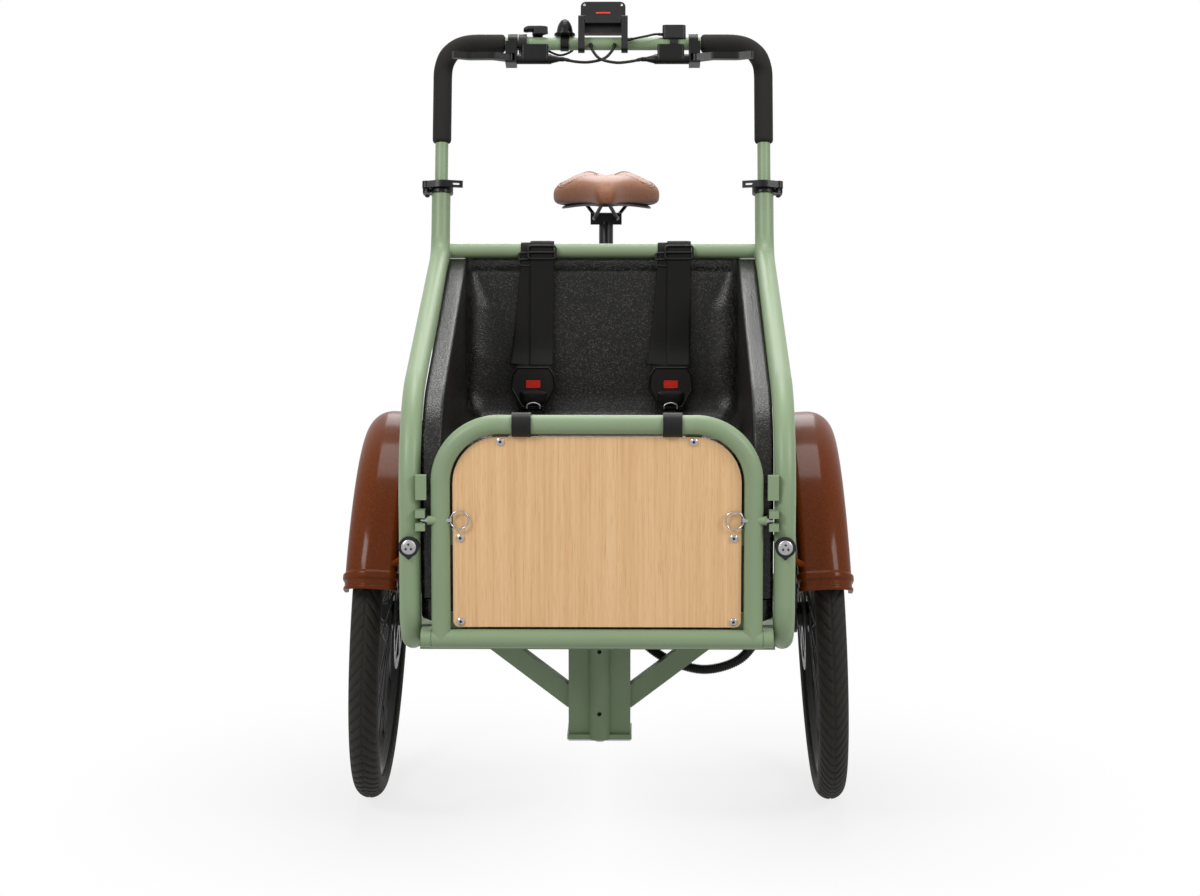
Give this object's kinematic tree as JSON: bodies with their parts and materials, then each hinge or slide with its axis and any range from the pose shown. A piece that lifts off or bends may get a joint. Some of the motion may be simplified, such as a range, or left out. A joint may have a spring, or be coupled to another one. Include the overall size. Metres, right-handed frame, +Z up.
{
  "type": "cargo tricycle",
  "caption": "Front-loading cargo tricycle: tub with bench and harnesses between two cambered wheels, fold-down door, U handlebar, and a rear half that pivots under the tub.",
  "frame": {"origin": "middle of the footprint on the ground", "axes": "+Z up, -Y towards the front of the tub, +X towards the rider's left"},
  "size_m": [0.7856, 1.9594, 1.2887],
  "materials": {
    "sage_paint": "satin powder coat",
    "black_metal": "satin black",
    "bare_steel": "brushed",
    "bright_chrome": "polished",
    "perforated_alu": "satin",
    "oak_ply": "oiled",
    "brown_gloss": "glossy",
    "tub_black": "textured",
    "part_black": "matte",
    "key_grey": "matte",
    "signal_red": "glossy",
    "lens": "silvered",
    "foam": "foam",
    "hose_black": "matte",
    "tyre_black": "matte",
    "strap_black": "woven",
    "saddle_leather": "smooth"
  },
  "bodies": {
    "front_frame": {"side_rails": "sage_paint", "top_cross_tube": "sage_paint", "floor_frame": "sage_paint", "steering_post": "sage_paint", "kingpin": "bare_steel", "tub": "tub_black", "footboard": "perforated_alu", "height_clamps": "black_metal", "marker_lights": "part_black", "marker_lenses": "lens", "front_fenders": "brown_gloss", "front_axles": "sage_paint", "front_calipers": "black_metal", "rail_brackets": "sage_paint", "shoulder_straps": "strap_black", "crotch_straps": "strap_black", "harness_buckles": "part_black", "harness_hardware": "bright_chrome", "cable_loom": "hose_black"},
    "clamp_lever_left": {"clamp_lever_left": "black_metal"},
    "clamp_lever_right": {"clamp_lever_right": "black_metal"},
    "buckle_button_left": {"buckle_button_left": "signal_red"},
    "buckle_button_right": {"buckle_button_right": "signal_red"},
    "door": {"door_frame": "sage_paint", "door_panel": "oak_ply", "panel_bolts": "bright_chrome", "door_bumpers": "hose_black"},
    "latch_pin_left": {"latch_pin_left": "bright_chrome"},
    "latch_pin_right": {"latch_pin_right": "bright_chrome"},
    "handlebar": {"handlebar": "sage_paint", "foam_grips": "foam", "brake_bodies": "black_metal", "shifter_body": "part_black", "remote_body": "part_black", "display_bracket": "part_black", "bell_body": "black_metal", "handlebar_cables": "hose_black"},
    "brake_lever_left": {"brake_lever_left": "black_metal"},
    "brake_lever_right": {"brake_lever_right": "black_metal"},
    "shifter_lever": {"shifter_lever": "part_black"},
    "remote_button": {"remote_button": "key_grey"},
    "display": {"display": "part_black"},
    "bell_striker": {"bell_striker": "bright_chrome"},
    "front_wheel_left": {"front_wheel_left": "black_metal", "front_tyre_left": "tyre_black"},
    "front_wheel_right": {"front_wheel_right": "black_metal", "front_tyre_right": "tyre_black"},
    "rear": {"rear_frame": "sage_paint", "rear_fender": "brown_gloss", "battery": "part_black", "chain": "bare_steel"},
    "seat": {"seat_post": "black_metal", "saddle_rails": "black_metal", "saddle": "saddle_leather"},
    "rear_wheel": {"rear_wheel": "black_metal", "rear_tyre": "tyre_black"},
    "rear_sprocket": {"rear_sprocket": "bare_steel"},
    "crankset": {"crankset": "black_metal"},
    "pedal_left": {"pedal_left": "part_black"},
    "pedal_right": {"pedal_right": "part_black"}
  },
  "joints": [
    {"name": "steer", "type": "hinge", "parent": "front_frame", "child": "rear", "pos_m": [0, -0.62725, 0.2], "axis": [0, 0, 1], "range_deg": [-35, 35]},
    {"name": "door_fold", "type": "hinge", "parent": "front_frame", "child": "door", "pos_m": [0, -0.96225, 0.333], "axis": [1, 0, 0], "range_deg": [0, 165]},
    {"name": "latch_left", "type": "slide", "parent": "door", "child": "latch_pin_left", "axis": [-1, 0, 0], "range_m": [0, 0.013], "stiffness_N_per_m": 400, "springref_m": -0.006},
    {"name": "latch_right", "type": "slide", "parent": "door", "child": "latch_pin_right", "axis": [1, 0, 0], "range_m": [0, 0.013], "stiffness_N_per_m": 400, "springref_m": -0.006},
    {"name": "bar_height", "type": "slide", "parent": "front_frame", "child": "handlebar", "axis": [0, 0.284, 0.9588], "range_m": [0, 0.045]},
    {"name": "clamp_left", "type": "hinge", "parent": "front_frame", "child": "clamp_lever_left", "pos_m": [0.2999, -0.26296, 0.96623], "axis": [0, 0.284, 0.9588], "range_deg": [0, 100]},
    {"name": "clamp_right", "type": "hinge", "parent": "front_frame", "child": "clamp_lever_right", "pos_m": [-0.2999, -0.26296, 0.96623], "axis": [0, -0.284, -0.9588], "range_deg": [0, 100]},
    {"name": "brake_left", "type": "hinge", "parent": "handlebar", "child": "brake_lever_left", "pos_m": [0.158, -0.21499, 1.1919], "axis": [0, 0.284, 0.9588], "range_deg": [0, 12], "stiffness_Nm_per_rad": 2, "springref_deg": -5.73},
    {"name": "brake_right", "type": "hinge", "parent": "handlebar", "child": "brake_lever_right", "pos_m": [-0.158, -0.21499, 1.1919], "axis": [0, -0.284, -0.9588], "range_deg": [0, 12], "stiffness_Nm_per_rad": 2, "springref_deg": -5.73},
    {"name": "shift", "type": "hinge", "parent": "handlebar", "child": "shifter_lever", "pos_m": [-0.112, -0.15132, 1.22728], "axis": [0, 0.284, 0.9588], "range_deg": [-20, 0], "stiffness_Nm_per_rad": 0.5},
    {"name": "assist_press", "type": "slide", "parent": "handlebar", "child": "remote_button", "axis": [0, -0.284, -0.9588], "range_m": [0, 0.0015], "stiffness_N_per_m": 600, "springref_m": -0.0005},
    {"name": "display_tilt", "type": "hinge", "parent": "handlebar", "child": "display", "pos_m": [0, -0.18399, 1.25781], "axis": [1, 0, 0], "range_deg": [-4, 15]},
    {"name": "bell_thumb", "type": "hinge", "parent": "handlebar", "child": "bell_striker", "pos_m": [-0.066, -0.14432, 1.22625], "axis": [1, 0, 0], "range_deg": [0, 10], "stiffness_Nm_per_rad": 0.05, "springref_deg": -5.73},
    {"name": "buckle_press_left", "type": "slide", "parent": "front_frame", "child": "buckle_button_left", "axis": [0, 1, 0], "range_m": [0, 0.003], "stiffness_N_per_m": 400, "springref_m": -0.001},
    {"name": "buckle_press_right", "type": "slide", "parent": "front_frame", "child": "buckle_button_right", "axis": [0, 1, 0], "range_m": [0, 0.003], "stiffness_N_per_m": 400, "springref_m": -0.001},
    {"name": "front_spin_left", "type": "hinge", "parent": "front_frame", "child": "front_wheel_left", "pos_m": [0.354, -0.56725, 0.29762], "axis": [0.9986, 0, 0.0523], "continuous": true},
    {"name": "front_spin_right", "type": "hinge", "parent": "front_frame", "child": "front_wheel_right", "pos_m": [-0.354, -0.56725, 0.29762], "axis": [0.9986, 0, -0.0523], "continuous": true},
    {"name": "seat_height", "type": "slide", "parent": "rear", "child": "seat", "axis": [0, 0.342, 0.9397], "range_m": [-0.08, 0.05]},
    {"name": "rear_spin", "type": "hinge", "parent": "rear", "child": "rear_wheel", "pos_m": [0, 0.63275, 0.325], "axis": [1, 0, 0], "continuous": true},
    {"name": "crank_spin", "type": "hinge", "parent": "rear", "child": "crankset", "pos_m": [0, 0.15275, 0.292], "axis": [1, 0, 0], "continuous": true},
    {"name": "sprocket_spin", "type": "hinge", "parent": "rear", "child": "rear_sprocket", "pos_m": [0, 0.63275, 0.325], "axis": [1, 0, 0], "continuous": true},
    {"name": "pedal_spin_left", "type": "hinge", "parent": "crankset", "child": "pedal_left", "pos_m": [0.13, 0.31775, 0.292], "axis": [1, 0, 0], "continuous": true},
    {"name": "pedal_spin_right", "type": "hinge", "parent": "crankset", "child": "pedal_right", "pos_m": [-0.13, -0.01225, 0.292], "axis": [1, 0, 0], "continuous": true}
  ],
  "couplings": [
    {"joint": "sprocket_spin", "follows": "crank_spin", "ratio": 1.9}
  ]
}
